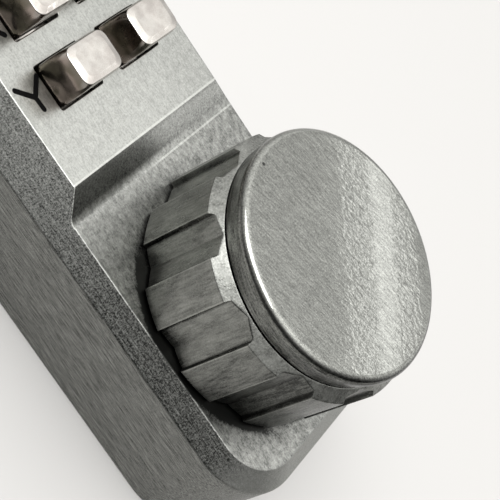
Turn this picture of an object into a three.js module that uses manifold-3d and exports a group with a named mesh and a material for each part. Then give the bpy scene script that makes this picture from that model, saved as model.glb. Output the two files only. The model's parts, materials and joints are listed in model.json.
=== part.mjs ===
// Outside unit of a mechanical push-button code lock, lying on its back.
// Millimetres. +Z leaves the front face, +Y runs up the keypad and the knob is at the -Y end.
// The origin is the middle of the footprint, on the plane of the door.

import * as THREE from "three";
import { mergeVertices } from "three/addons/utils/BufferGeometryUtils.js";
import Module from "manifold-3d";

const wasm = await Module();
wasm.setup();

// ---------------------------------------------------------------- driving dimensions

const LENGTH = 148.4;             // case, at the door
const BASE_HALF_WIDTH = 23.55;    // case, at the door
const WAIST_HALF_WIDTH = 23.1;    // case, at the foot of the chamfer
const LAND_HALF_WIDTH = 18;       // flat front face
const WAIST_Z = 15.6;             // foot of the chamfer
const FACE_Z = 20.3;              // keypad face
const LANDING_Z = 18.25;          // lower face around the knob
const BASE_CORNER_RADIUS = 12;    // case corners, at the door

const KNOB_END_MARGIN = 24.9;     // knob axis to the near end of the case
const STEP_FROM_KNOB = 27.8;      // knob axis to the top of the ramp
const RAMP_SLOPE = 0.542;         // rise over run of the ramp
const RAMP_FILLET_RADIUS = 5.9;   // blend between ramp and landing

const COLUMN_PITCH = 14.03;
const ROW_PITCH = 10.96;
const BOTTOM_ROW_FROM_KNOB = 40.4;
const SLOT_WIDTH = 9.7;
const SLOT_HEIGHT = 6.9;
const BUTTON_HALF = [4.65, 3.1];  // sides of a button
const BUTTON_TOP_HALF = [3.95, 2.2];
const BUTTON_SIDE_RISE = 4.5;     // top of the sides, above the face
const BUTTON_RISE = 6.28;         // crown of a button, above the face

const KNOB_RADIUS = 19.9;         // over the ribs
const KNOB_BOTTOM_Z = 18.7;
const KNOB_LEDGE_Z = 32.4;        // where the ribs end in a sloping ledge
const KNOB_NECK_RADIUS = 18.1;    // top of the ledge
const KNOB_NECK_Z = 33.9;
const KNOB_TOP_Z = 38.1;
const RIB_COUNT = 10;
const RIB_PHASE = 11.3;           // degrees, centre of one rib
const RIB_HALF_ANGLE = 8.8;       // degrees
const SPINDLE_RADIUS = 6;
const SPINDLE_SQUARE_HALF = 4.2;
const DRIVE_SOCKET_HALF = 2.65;   // takes a 5 mm square bar
const DRIVE_SOCKET_DEPTH = 15;
const CAM_BASE_RADIUS = 8;
const CAM_LIFT = 3;               // gate travel for the knob's full turn
const KNOB_TURN = 90;             // degrees

const GAP = 0.3;                  // clearance between pieces that touch

// ---------------------------------------------------------------- derived places

const KNOB_Y = KNOB_END_MARGIN - LENGTH / 2;
const BOTTOM_ROW_Y = KNOB_Y + BOTTOM_ROW_FROM_KNOB;
const CHAMFER_INSET = WAIST_HALF_WIDTH - LAND_HALF_WIDTH;
const WAIST_INSET = BASE_HALF_WIDTH - WAIST_HALF_WIDTH;
const CAVITY_INSET = 2.35;        // wall thickness at the door
const CAVITY_Z = 13.6;            // ceiling of the wide cavity
const POCKET_Z = 17.8;            // ceiling of the narrow cavity under the keypad
const CAVITY_HALF_WIDTH = BASE_HALF_WIDTH - CAVITY_INSET;

const PLATE_TOP_Z = 1.6;          // back plate
const COVER_Z = [1.9, 2.7];       // chamber cover
const CHAMBER_Z = [3, 10];        // code chamber
const CHAMBER_HALF_WIDTH = 13.4;
const CHAMBER_Y = [BOTTOM_ROW_Y - 7.4, BOTTOM_ROW_Y + 6 * ROW_PITCH + 7.6];
const CHANNEL_HALF_WIDTH = 3.4;   // gate channel along the chamber
const CHANNEL_Z = 8.6;
const TUMBLER_WIDTH = 7.1;
const TUMBLER_Z = [5.6, 9.8];
const TUMBLER_HALF_DEPTH = 1.75;
const GATE_Z = [5, 6.8];
const CAM_Z = [4.4, 6.4];
const FLANGE_Z = [15.9, 17.5];    // button flange, under the face
const FLANGE_HALF = [5.65, 4.1];
const STEM_HALF = [2, 1.3];

const POCKET_HALF_WIDTH = 16.2;
const POCKET_Y = [KNOB_Y + 30, LENGTH / 2 - 8];
const POCKET_CORNER_RADIUS = 2.5;

const LUGS = [[-16, BOTTOM_ROW_Y], [16, BOTTOM_ROW_Y + 6 * ROW_PITCH]];
const LUG_RADIUS = 2.6;
const LUG_POST_RADIUS = 2.4;
const SCREW_HOLE_RADIUS = 1.6;
const POST_RADIUS = 2.8;
const BOSS_RADIUS = 3.4;
const BOSS_BORE_RADIUS = 2.1;     // tapped M5
const BOSS_BORE_DEPTH = 11;
const BUSH_HOLE_RADIUS = 9;
const BUSH_FLANGE_RADIUS = 11.4;
const PLATE_HOLE_RADIUS = 5.2;    // back plate, round the spindle
const PLATE_SCREW_HEAD_RADIUS = 2.6;
const PLATE_SCREW_RECESS = 1.1;   // depth of the counterbore
const CHAMBER_SCREW_HEAD_RADIUS = 2.4;
const SCREW_SHANK_RADIUS = 1.25;
const PLATE_POSTS = [[-16.5, KNOB_Y + 24], [16.5, KNOB_Y + 24]];
const FIXING_BOSSES = [[0, KNOB_Y - 17.6], [0, KNOB_Y + 117.2]];

const KEY_ROWS = [["1", "6"], ["2", "7"], ["3", "8"], ["4", "9"], ["5", "0"], ["X", "Z"], ["Y", "C"]];

const RADIANS = Math.PI / 180;

// ---------------------------------------------------------------- materials

const finish = (color, roughness, metalness) =>
  new THREE.MeshStandardMaterial({ color, roughness, metalness });

const satinZinc = finish(0x9c9e9d, 0.42, 0.9);
const knobZinc = finish(0x87898a, 0.38, 0.9);
const polishedNickel = finish(0xc9c4bc, 0.12, 1);
const steel = finish(0xa3a5a8, 0.4, 0.95);
const springSteel = finish(0x8d9096, 0.3, 1);
const brass = finish(0xb59a55, 0.35, 1);
const rubber = finish(0x1b1b1c, 0.8, 0);

// ---------------------------------------------------------------- solids

function toSolid(geometry) {
  geometry.deleteAttribute("normal");
  geometry.deleteAttribute("uv");
  const merged = mergeVertices(geometry, 1e-5);
  const mesh = new wasm.Mesh({
    numProp: 3,
    vertProperties: new Float32Array(merged.attributes.position.array),
    triVerts: new Uint32Array(merged.index.array),
  });
  return new wasm.Manifold(mesh);
}

function toGeometry(solid) {
  const mesh = solid.getMesh();
  const geometry = new THREE.BufferGeometry();
  geometry.setAttribute("position", new THREE.BufferAttribute(new Float32Array(mesh.vertProperties), 3));
  geometry.setIndex(new THREE.BufferAttribute(new Uint32Array(mesh.triVerts), 1));
  geometry.computeVertexNormals();
  return geometry;
}

function block([x0, x1], [y0, y1], [z0, z1]) {
  const geometry = new THREE.BoxGeometry(x1 - x0, y1 - y0, z1 - z0);
  geometry.translate((x0 + x1) / 2, (y0 + y1) / 2, (z0 + z1) / 2);
  return toSolid(geometry);
}

// A solid of revolution about a line along +Z, from [radius, z] pairs that start and end on the axis.
function turned(profile, [x, y], sides) {
  const geometry = new THREE.LatheGeometry(profile.map(([r, z]) => new THREE.Vector2(r, z)), sides);
  geometry.rotateX(Math.PI / 2);
  geometry.translate(x, y, 0);
  return toSolid(geometry);
}

function rod(radius, [z0, z1], centre, sides = 24) {
  return turned([[0, z0], [radius, z0], [radius, z1], [0, z1]], centre, sides);
}

function tube(outer, inner, [z0, z1], centre, sides = 24) {
  return rod(outer, [z0, z1], centre, sides).subtract(rod(inner, [z0 - 1, z1 + 1], centre, sides));
}

// A prism standing on an outline of [x, y] points.
function prism(points, [z0, z1]) {
  const shape = new THREE.Shape(points.map(([x, y]) => new THREE.Vector2(x, y)));
  const geometry = new THREE.ExtrudeGeometry(shape, { depth: z1 - z0, bevelEnabled: false });
  geometry.translate(0, 0, z0);
  return toSolid(geometry);
}

// Points of a rounded rectangle, anticlockwise, with arcs of the given number of steps.
function roundedRectangle(halfX, y0, y1, radius, steps) {
  const corners = [
    [halfX - radius, y0 + radius, -90],
    [halfX - radius, y1 - radius, 0],
    [radius - halfX, y1 - radius, 90],
    [radius - halfX, y0 + radius, 180],
  ];
  return corners.flatMap(([cx, cy, start]) =>
    Array.from({ length: steps + 1 }, (_, i) => {
      const angle = (start + (90 * i) / steps) * RADIANS;
      return [cx + radius * Math.cos(angle), cy + radius * Math.sin(angle)];
    }));
}

// A solid lofted through rounded rectangles, each {halfX, y0, y1, radius, z}, from the lowest up.
function loft(levels, steps) {
  const rings = levels.map(({ halfX, y0, y1, radius }) => roundedRectangle(halfX, y0, y1, radius, steps));
  const count = rings[0].length;
  const positions = rings.flatMap((ring, level) => ring.flatMap(([x, y]) => [x, y, levels[level].z]));
  const index = [];
  for (let level = 0; level + 1 < rings.length; level += 1) {
    for (let i = 0; i < count; i += 1) {
      const a = level * count + i;
      const b = level * count + ((i + 1) % count);
      index.push(a, b, b + count, a, b + count, a + count);
    }
  }
  const top = (rings.length - 1) * count;
  for (let i = 1; i + 1 < count; i += 1) {
    index.push(0, i + 1, i);
    index.push(top, top + i, top + i + 1);
  }
  const geometry = new THREE.BufferGeometry();
  geometry.setAttribute("position", new THREE.Float32BufferAttribute(positions, 3));
  geometry.setIndex(index);
  return toSolid(geometry);
}

// A wire coil about a vertical axis: a polygon section swept along a helix.
function coil(radius, wire, [z0, z1], turns, centre, stepsPerTurn, sides) {
  class Helix extends THREE.Curve {
    getPoint(t, target = new THREE.Vector3()) {
      const angle = 2 * Math.PI * turns * t;
      return target.set(
        centre[0] + radius * Math.cos(angle),
        centre[1] + radius * Math.sin(angle),
        z0 + (z1 - z0) * t);
    }
  }
  const section = new THREE.Shape(Array.from({ length: sides }, (_, i) => {
    const angle = (2 * Math.PI * i) / sides;
    return new THREE.Vector2(wire * Math.cos(angle), wire * Math.sin(angle));
  }));
  const path = { steps: Math.round(turns * stepsPerTurn), extrudePath: new Helix(), bevelEnabled: false };
  return toSolid(new THREE.ExtrudeGeometry(section, path));
}

// ---------------------------------------------------------------- case

function caseShell() {
  const y0 = -LENGTH / 2;
  const y1 = LENGTH / 2;
  const landInset = WAIST_INSET + CHAMFER_INSET;
  const level = (inset, z) => ({
    halfX: BASE_HALF_WIDTH - inset,
    y0: y0 + inset,
    y1: y1 - inset,
    radius: BASE_CORNER_RADIUS - inset,
    z,
  });
  return loft([level(0, 0), level(WAIST_INSET, WAIST_Z), level(landInset, FACE_Z)], 5);
}

// Everything above the ramp and the landing, as a prism across the case.
function landingCut() {
  const top = FACE_Z + 3;
  const stepY = KNOB_Y + STEP_FROM_KNOB;
  const slope = Math.atan(RAMP_SLOPE);
  const footY = stepY - (FACE_Z - LANDING_Z) / RAMP_SLOPE;
  const tangent = RAMP_FILLET_RADIUS * Math.tan(slope / 2);
  const outline = [[stepY + (top - FACE_Z) / RAMP_SLOPE, top]];
  for (let i = 0; i <= 3; i += 1) {
    const angle = slope * (1 - i / 3);
    const y = footY - tangent + RAMP_FILLET_RADIUS * Math.sin(angle);
    const z = LANDING_Z + RAMP_FILLET_RADIUS * (1 - Math.cos(angle));
    outline.push([y, z]);
  }
  outline.push([-LENGTH, LANDING_Z], [-LENGTH, top]);
  const cut = prism(outline, [-LENGTH, LENGTH]);
  // The outline was drawn in Y and Z: X becomes Y, Y becomes Z and the sweep runs along X.
  return cut.rotate([90, 0, 90]);
}

function cavity() {
  const inset = CAVITY_INSET;
  const wide = {
    halfX: CAVITY_HALF_WIDTH,
    y0: -LENGTH / 2 + inset,
    y1: LENGTH / 2 - inset,
    radius: BASE_CORNER_RADIUS - inset,
  };
  const narrow = {
    halfX: POCKET_HALF_WIDTH,
    y0: POCKET_Y[0],
    y1: POCKET_Y[1],
    radius: POCKET_CORNER_RADIUS,
  };
  const lower = loft([{ ...wide, z: -1 }, { ...wide, z: CAVITY_Z }], 5);
  const upper = loft([{ ...narrow, z: CAVITY_Z - 1 }, { ...narrow, z: POCKET_Z }], 2);
  return lower.add(upper);
}

function keyPlaces() {
  return KEY_ROWS.flatMap((row, i) => row.map((key, column) => ({
    key: key.toLowerCase(),
    side: column === 0 ? -1 : 1,
    x: (column - 0.5) * COLUMN_PITCH,
    y: BOTTOM_ROW_Y + (KEY_ROWS.length - 1 - i) * ROW_PITCH,
  })));
}

function frontCase() {
  let body = caseShell().subtract(landingCut()).subtract(cavity());
  for (const { x, y } of keyPlaces()) {
    const halfX = SLOT_WIDTH / 2;
    const halfY = SLOT_HEIGHT / 2;
    body = body.subtract(block([x - halfX, x + halfX], [y - halfY, y + halfY], [POCKET_Z - 1, FACE_Z + 1]));
  }
  for (const centre of FIXING_BOSSES) {
    body = body.add(rod(BOSS_RADIUS, [0, CAVITY_Z + 1], centre, 16));
    body = body.subtract(rod(BOSS_BORE_RADIUS, [-1, BOSS_BORE_DEPTH], centre, 12));
  }
  for (const centre of PLATE_POSTS) {
    body = body.add(rod(POST_RADIUS, [PLATE_TOP_Z + GAP, CAVITY_Z + 1], centre, 12));
    body = body.subtract(rod(SCREW_HOLE_RADIUS, [0, 9], centre, 8));
  }
  for (const centre of LUGS) {
    body = body.add(rod(LUG_POST_RADIUS, [CHAMBER_Z[1] + GAP, CAVITY_Z + 1], centre, 12));
    body = body.subtract(rod(SCREW_HOLE_RADIUS, [0, 13], centre, 8));
  }
  return body.subtract(rod(BUSH_HOLE_RADIUS, [CAVITY_Z - 1, LANDING_Z + 1], [0, KNOB_Y], 32));
}

function backPlate() {
  const inset = CAVITY_INSET + GAP;
  const outline = {
    halfX: BASE_HALF_WIDTH - inset,
    y0: -LENGTH / 2 + inset,
    y1: LENGTH / 2 - inset,
    radius: BASE_CORNER_RADIUS - inset,
  };
  let plate = loft([{ ...outline, z: 0 }, { ...outline, z: PLATE_TOP_Z }], 5);
  plate = plate.subtract(rod(PLATE_HOLE_RADIUS, [-1, PLATE_TOP_Z + 1], [0, KNOB_Y], 24));
  for (const centre of FIXING_BOSSES) {
    plate = plate.subtract(rod(BOSS_RADIUS + 0.4, [-1, PLATE_TOP_Z + 1], centre, 16));
  }
  for (const centre of PLATE_POSTS) {
    plate = plate.subtract(rod(PLATE_SCREW_HEAD_RADIUS + 0.4, [-1, PLATE_SCREW_RECESS], centre, 16));
    plate = plate.subtract(rod(SCREW_HOLE_RADIUS, [0, PLATE_TOP_Z + 1], centre, 8));
  }
  return plate;
}

function screw(centre, headRadius, [head, neck, tip]) {
  const shank = SCREW_SHANK_RADIUS;
  return turned([[0, head], [headRadius, head], [headRadius, neck], [shank, neck], [shank, tip], [0, tip]],
    centre, 12);
}

// ---------------------------------------------------------------- keypad

// The stretch from near to far on one side of the middle plane, lowest first.
function span(side, near, far) {
  return side > 0 ? [near, far] : [-far, -near];
}

function button({ x, y }) {
  const level = (halfX, halfY, radius, z) => ({ halfX, y0: -halfY, y1: halfY, radius, z });
  const bodyLevels = [
    level(...BUTTON_HALF, 0.9, FLANGE_Z[1] - 0.5),
    level(...BUTTON_HALF, 0.9, FACE_Z + BUTTON_SIDE_RISE),
    level(...BUTTON_TOP_HALF, 0.7, FACE_Z + BUTTON_RISE),
  ];
  const [flangeX, flangeY] = FLANGE_HALF;
  const [stemX, stemY] = STEM_HALF;
  const flange = block([-flangeX, flangeX], [-flangeY, flangeY], FLANGE_Z);
  const stem = block([-stemX, stemX], [-stemY, stemY], [CHAMBER_Z[1] + 0.1, FLANGE_Z[0] + 0.5]);
  return loft(bodyLevels, 1).add(flange).add(stem).translate([x, y, 0]);
}

function buttonSpring({ x, y }) {
  return tube(3.2, 2.75, [CHAMBER_Z[1] + GAP, FLANGE_Z[0] - GAP], [x, y], 10);
}

// Tumblers stand in the chamber's pockets, with a nib that reaches into the gate channel.
function tumbler({ y, side }) {
  const inner = CHANNEL_HALF_WIDTH;
  const plateY = [y - TUMBLER_HALF_DEPTH, y + TUMBLER_HALF_DEPTH];
  const plate = block(span(side, inner, inner + TUMBLER_WIDTH), plateY, TUMBLER_Z);
  const nibZ = [TUMBLER_Z[0], TUMBLER_Z[0] + 1.5];
  return plate.add(block(span(side, 2, inner + 1), [y - 0.75, y + 0.75], nibZ));
}

function resetLever({ x, y }) {
  const plateX = [CHANNEL_HALF_WIDTH, CHANNEL_HALF_WIDTH + TUMBLER_WIDTH];
  const plate = block(plateX, [y - TUMBLER_HALF_DEPTH, y + TUMBLER_HALF_DEPTH], [7.4, TUMBLER_Z[1]]);
  return plate.add(block([x - 1.2, x + 1.2], [y - 1.2, y + 1.2], [TUMBLER_Z[0], 8]));
}

function chamberOutline(z) {
  return block([-CHAMBER_HALF_WIDTH, CHAMBER_HALF_WIDTH], CHAMBER_Y, z);
}

function codeChamber() {
  let body = chamberOutline(CHAMBER_Z);
  const through = [CHAMBER_Z[0] - 1, CHAMBER_Z[1] + 1];
  for (const { y, side } of keyPlaces()) {
    body = body.subtract(block(span(side, 3, 10.9), [y - 2.1, y + 2.1], through));
  }
  const channelY = [CHAMBER_Y[0] - 1, CHAMBER_Y[1] - 2];
  const channelX = [-CHANNEL_HALF_WIDTH, CHANNEL_HALF_WIDTH];
  body = body.subtract(block(channelX, channelY, [CHAMBER_Z[0] - 1, CHANNEL_Z]));
  for (const [x, y] of LUGS) {
    const reach = Math.abs(x) + LUG_RADIUS;
    const lugX = span(Math.sign(x), CHAMBER_HALF_WIDTH - 0.5, reach);
    body = body.add(block(lugX, [y - LUG_RADIUS, y + LUG_RADIUS], CHAMBER_Z));
    body = body.subtract(rod(SCREW_HOLE_RADIUS, [0, CHAMBER_Z[1] + 1], [x, y], 8));
  }
  return body;
}

// ---------------------------------------------------------------- gate and knob

function gateSlide() {
  const z = GATE_Z;
  const tip = KNOB_Y + CAM_BASE_RADIUS + 0.5;
  let body = block([-1.4, 1.4], [tip + 1, CHAMBER_Y[1] - 2 - CAM_LIFT - 1], z);
  body = body.add(prism([[-0.6, tip], [0.6, tip], [1.4, tip + 2], [-1.4, tip + 2]], z));
  for (let row = 0; row < KEY_ROWS.length; row += 1) {
    const y = BOTTOM_ROW_Y + row * ROW_PITCH - 4.6;
    body = body.add(block([-2.9, 2.9], [y - 0.6, y + 0.6], z));
  }
  return body;
}

// The cam's edge grows evenly with angle, so the gate rises evenly as the knob turns clockwise.
function driveCam() {
  const baseRadius = CAM_BASE_RADIUS;
  const points = [];
  for (let angle = 0; angle < 360; angle += 10) {
    const turn = angle - 90;
    const onRise = turn > 0 && turn <= KNOB_TURN + 10;
    const radius = baseRadius + (onRise ? (turn * CAM_LIFT) / KNOB_TURN : 0);
    points.push([radius * Math.cos(angle * RADIANS), KNOB_Y + radius * Math.sin(angle * RADIANS)]);
  }
  const half = SPINDLE_SQUARE_HALF + GAP;
  const square = block([-half, half], [KNOB_Y - half, KNOB_Y + half], [0, 10]);
  return prism(points, CAM_Z).subtract(square);
}

function knobSpindle() {
  const centre = [0, KNOB_Y];
  const shaft = rod(SPINDLE_RADIUS, [6.8, 26.7], centre, 24);
  const half = SPINDLE_SQUARE_HALF;
  const square = block([-half, half], [KNOB_Y - half, KNOB_Y + half], [1.9, 7.5]);
  const groove = tube(7, 4.5, [2.5, 3.6], centre, 24);
  const bar = DRIVE_SOCKET_HALF;
  const socket = block([-bar, bar], [KNOB_Y - bar, KNOB_Y + bar], [0, DRIVE_SOCKET_DEPTH]);
  return shaft.add(square).subtract(groove).subtract(socket);
}

function circlip() {
  const centre = [0, KNOB_Y];
  const mouth = block([-1.6, 1.6], [KNOB_Y - 8, KNOB_Y - 3], [0, 5]);
  return tube(6.9, 4.8, [2.8, 3.3], centre, 20).subtract(mouth);
}

function spindleBush() {
  const centre = [0, KNOB_Y];
  const sleeve = rod(BUSH_HOLE_RADIUS - GAP, [12.5, LANDING_Z - 0.2], centre, 32);
  const flange = rod(BUSH_FLANGE_RADIUS, [12, CAVITY_Z - GAP], centre, 32);
  return sleeve.add(flange).subtract(rod(SPINDLE_RADIUS + 0.3, [0, 20], centre, 24));
}

function spindleSeal() {
  const ring = new THREE.TorusGeometry(10.2, 0.6, 6, 28);
  ring.translate(0, KNOB_Y, 19.2);
  return toSolid(ring);
}

function knobReturnSpring() {
  return coil(8, 0.5, [7.7, 11.2], 3, [0, KNOB_Y], 14, 5);
}

// The knob's outline: full-radius ribs, and between them shallow scallops with a
// small step at each side and a valley along the middle.
function knobOutline() {
  const pitch = 360 / RIB_COUNT;
  const halfScallop = pitch / 2 - RIB_HALF_ANGLE;
  const scallop = [[0.02, 19.1], [0.28, 18.5], [0.5, 18.3], [0.75, 18.55], [0.98, 19.0]];
  const points = [];
  for (let rib = 0; rib < RIB_COUNT; rib += 1) {
    const centre = RIB_PHASE + rib * pitch;
    for (let i = 0; i <= 3; i += 1) {
      points.push([centre + RIB_HALF_ANGLE * ((2 * i) / 3 - 1), KNOB_RADIUS]);
    }
    for (const [share, radius] of scallop) {
      points.push([centre + RIB_HALF_ANGLE + 2 * halfScallop * share, radius]);
    }
  }
  return points.map(([degrees, r]) => {
    const angle = degrees * RADIANS;
    return [r * Math.cos(angle), KNOB_Y + r * Math.sin(angle)];
  });
}

function knobGrip() {
  const centre = [0, KNOB_Y];
  const slope = (KNOB_RADIUS - KNOB_NECK_RADIUS) / (KNOB_NECK_Z - KNOB_LEDGE_Z);
  const outer = KNOB_RADIUS + 1;
  const envelope = turned([
    [0, KNOB_BOTTOM_Z - 1],
    [outer, KNOB_BOTTOM_Z - 1],
    [outer, KNOB_LEDGE_Z - 1 / slope],
    [KNOB_NECK_RADIUS, KNOB_NECK_Z],
    [0, KNOB_NECK_Z],
  ], centre, 60);
  let body = prism(knobOutline(), [KNOB_BOTTOM_Z, KNOB_NECK_Z]).intersect(envelope);
  body = body.subtract(rod(15.2, [KNOB_BOTTOM_Z - 1, 28.4], centre, 32));
  body = body.add(rod(9.4, [20.2, 29], centre, 24));
  body = body.subtract(rod(SPINDLE_RADIUS + 0.35, [KNOB_BOTTOM_Z, 27.1], centre, 24));
  return body.subtract(rod(14.8, [31, KNOB_NECK_Z + 1], centre, 32));
}

function knobCap() {
  return turned([
    [0, 31.3],
    [14.4, 31.3],
    [14.4, KNOB_NECK_Z + GAP],
    [17.9, KNOB_NECK_Z + GAP],
    [18.15, KNOB_NECK_Z + 0.6],
    [18.66, KNOB_TOP_Z - 0.6],
    [18.45, KNOB_TOP_Z - 0.15],
    [18, KNOB_TOP_Z],
    [0, KNOB_TOP_Z],
  ], [0, KNOB_Y], 48);
}

// ---------------------------------------------------------------- assembly

const lock = new THREE.Group();

function place(name, solid, material) {
  const mesh = new THREE.Mesh(toGeometry(solid), material);
  mesh.name = name;
  lock.add(mesh);
}

place("front_case", frontCase(), satinZinc);
place("back_plate", backPlate(), steel);
PLATE_POSTS.forEach((centre, i) => {
  place(`back_plate_screw_${i + 1}`, screw(centre, PLATE_SCREW_HEAD_RADIUS, [0.15, 0.8, 8.5]), steel);
});

for (const placeOfKey of keyPlaces()) {
  const { key } = placeOfKey;
  place(`button_${key}`, button(placeOfKey), polishedNickel);
  place(`button_spring_${key}`, buttonSpring(placeOfKey), springSteel);
  if (key === "c") {
    place("reset_lever", resetLever(placeOfKey), steel);
  } else {
    place(`tumbler_${key}`, tumbler(placeOfKey), brass);
  }
}

place("code_chamber", codeChamber(), satinZinc);
place("chamber_cover", chamberOutline(COVER_Z), steel);
LUGS.forEach((centre, i) => {
  const heights = [1.9, CHAMBER_Z[0] - GAP, 12.6];
  place(`chamber_screw_${i + 1}`, screw(centre, CHAMBER_SCREW_HEAD_RADIUS, heights), steel);
});

place("gate_slide", gateSlide(), steel);
place("drive_cam", driveCam(), steel);
place("knob_spindle", knobSpindle(), steel);
place("spindle_circlip", circlip(), springSteel);
place("spindle_bush", spindleBush(), brass);
place("spindle_o_ring", spindleSeal(), rubber);
place("knob_return_spring", knobReturnSpring(), springSteel);
place("knob_grip", knobGrip(), knobZinc);
place("knob_cap", knobCap(), knobZinc);

export default lock;
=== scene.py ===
# A mechanical code lock's outside unit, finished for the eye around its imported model.
# Metres, with +Z out of the front face, +Y up the keypad and the knob at the -Y end.

import json
import math

import bmesh
import bpy
from mathutils import Matrix, Vector


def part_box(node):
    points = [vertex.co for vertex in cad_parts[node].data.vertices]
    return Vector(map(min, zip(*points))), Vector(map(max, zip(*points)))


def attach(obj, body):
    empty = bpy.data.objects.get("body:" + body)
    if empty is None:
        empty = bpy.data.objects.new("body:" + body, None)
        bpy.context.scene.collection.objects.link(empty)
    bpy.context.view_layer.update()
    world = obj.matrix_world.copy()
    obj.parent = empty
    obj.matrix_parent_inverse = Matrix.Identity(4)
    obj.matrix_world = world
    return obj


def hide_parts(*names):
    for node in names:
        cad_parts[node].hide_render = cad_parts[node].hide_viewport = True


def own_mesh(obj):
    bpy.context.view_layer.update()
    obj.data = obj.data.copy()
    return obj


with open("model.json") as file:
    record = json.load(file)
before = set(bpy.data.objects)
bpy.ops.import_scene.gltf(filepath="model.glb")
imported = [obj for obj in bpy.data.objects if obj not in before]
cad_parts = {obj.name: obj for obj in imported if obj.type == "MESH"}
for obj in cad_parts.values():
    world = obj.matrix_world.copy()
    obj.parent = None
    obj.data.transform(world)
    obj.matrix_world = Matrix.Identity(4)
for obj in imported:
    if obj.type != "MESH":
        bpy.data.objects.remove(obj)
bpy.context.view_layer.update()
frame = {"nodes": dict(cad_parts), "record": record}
scene = bpy.context.scene
MM = 0.001


# ------------------------------------------------------------------ studio
# A pale sweep of card for a floor, a camera close over the keypad's near corner, and the
# soft light of a large bright window: the sky is bright up the keypad and dim behind the camera.

class Value:
    """A number or vector that varies over a surface: an output socket whose operators add nodes."""

    def __init__(self, graph, socket):
        self.graph = graph
        self.socket = socket

    def math(self, operation, *terms):
        return self.graph.node("ShaderNodeMath", {"operation": operation}, dict(enumerate(terms)))

    def __add__(self, other):
        return self.math("ADD", self, other)

    def __radd__(self, other):
        return self.math("ADD", other, self)

    def __sub__(self, other):
        return self.math("SUBTRACT", self, other)

    def __rsub__(self, other):
        return self.math("SUBTRACT", other, self)

    def __mul__(self, other):
        return self.math("MULTIPLY", self, other)

    def __rmul__(self, other):
        return self.math("MULTIPLY", other, self)

    def __truediv__(self, other):
        return self.math("DIVIDE", self, other)

    def __pow__(self, other):
        return self.math("POWER", self, other)

    def least(self, other):
        return self.math("MINIMUM", self, other)

    def most(self, other):
        return self.math("MAXIMUM", self, other)

    def distance(self, other):
        return self.math("ABSOLUTE", self - other)

    def smooth(self, low, high):
        """0 below low, 1 above high, and a soft rise between."""
        settings = {"interpolation_type": "SMOOTHSTEP"}
        return self.graph.node("ShaderNodeMapRange", settings, {"Value": self, 1: low, 2: high})

    def fade(self, low, high):
        """1 below low, 0 above high, and a soft fall between."""
        return 1 - self.smooth(low, high)


class Graph:
    """One node tree, shader or geometry, and the one way that nodes are added to it.
    An input of a node may be a plain setting or a Value, which is linked."""

    def __init__(self, tree):
        self.tree = tree
        tree.nodes.clear()

    def node(self, kind, settings=None, inputs=None, output=0):
        made = self.tree.nodes.new(kind)
        for name, value in (settings or {}).items():
            setattr(made, name, value)
        for key, value in (inputs or {}).items():
            socket = made.inputs[key]
            if isinstance(value, Value):
                self.tree.links.new(value.socket, socket)
            else:
                socket.default_value = value
        return Value(self, made.outputs[output]) if made.outputs else made


def link_object(name, data):
    made = bpy.data.objects.new(name, data)
    scene.collection.objects.link(made)
    return made


def sky(world, dim, glows):
    """A dim sky with broad glows in it, each (direction, sharpness, strength)."""
    world.use_nodes = True
    graph = Graph(world.node_tree)
    direction = graph.node("ShaderNodeTexCoord")
    strength = dim
    for toward, sharpness, glow in glows:
        share = graph.node("ShaderNodeVectorMath", {"operation": "DOT_PRODUCT"},
                           {0: direction, 1: Vector(toward).normalized()}, "Value")
        strength = strength + glow * share.most(0) ** sharpness
    light = graph.node("ShaderNodeBackground", None, {"Color": (*DAYLIGHT, 1), "Strength": strength})
    graph.node("ShaderNodeOutputWorld", None, {"Surface": light})


DAYLIGHT = (1, 0.995, 0.985)
WINDOW_GLOW = ((0.50, 0.40, 0.90), 1.3, 1.7)
LOW_GLOW = ((0.72, -0.64, 0.28), 14, 1.5)
CEILING_GLOW = ((0.05, -0.30, 1.0), 6, 1.7)
scene.world = bpy.data.worlds.new("studio_sky")
sky(scene.world, 0.06, [WINDOW_GLOW, LOW_GLOW, CEILING_GLOW])
scene.view_settings.view_transform = "Standard"

FLOOR_HALF = 1.5
floor_mesh = bpy.data.meshes.new("floor")
floor_corners = [(x * FLOOR_HALF, y * FLOOR_HALF, 0) for x, y in ((-1, -1), (1, -1), (1, 1), (-1, 1))]
floor_mesh.from_pydata(floor_corners, [], [(0, 1, 2, 3)])
floor = link_object("floor", floor_mesh)
floor_card = bpy.data.materials.new("floor_card")
floor_card.use_nodes = True
floor_shader = floor_card.node_tree.nodes["Principled BSDF"]
floor_shader.inputs["Base Color"].default_value = (0.483, 0.476, 0.465, 1)
floor_shader.inputs["Roughness"].default_value = 0.7
floor_mesh.materials.append(floor_card)


def soft_box(name, place, target, width, length, along, radiance):
    """A diffuser aimed at the target, with its length laid along a direction."""
    data = bpy.data.lights.new(name, "AREA")
    data.shape = "RECTANGLE"
    data.size, data.size_y = width, length
    data.energy = radiance * math.pi * width * length
    lamp = link_object(name, data)
    back = (Vector(place) - Vector(target)).normalized()
    across = Vector(along).cross(back).normalized()
    turn = Matrix((across, back.cross(across), back)).transposed().to_4x4()
    lamp.matrix_world = Matrix.Translation(place) @ turn


soft_box("overhead_box", (-0.12, 0.16, 0.62), (0, -0.02, 0), 0.55, 0.34, (1, 0, 0), radiance=4.8)
soft_box("window_strip", (0.382, -0.165, 0.344), (0.005, -0.052, 0.038), 0.023, 0.17, (-0.48, -0.83, 0.29),
         radiance=2.0)

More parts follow.
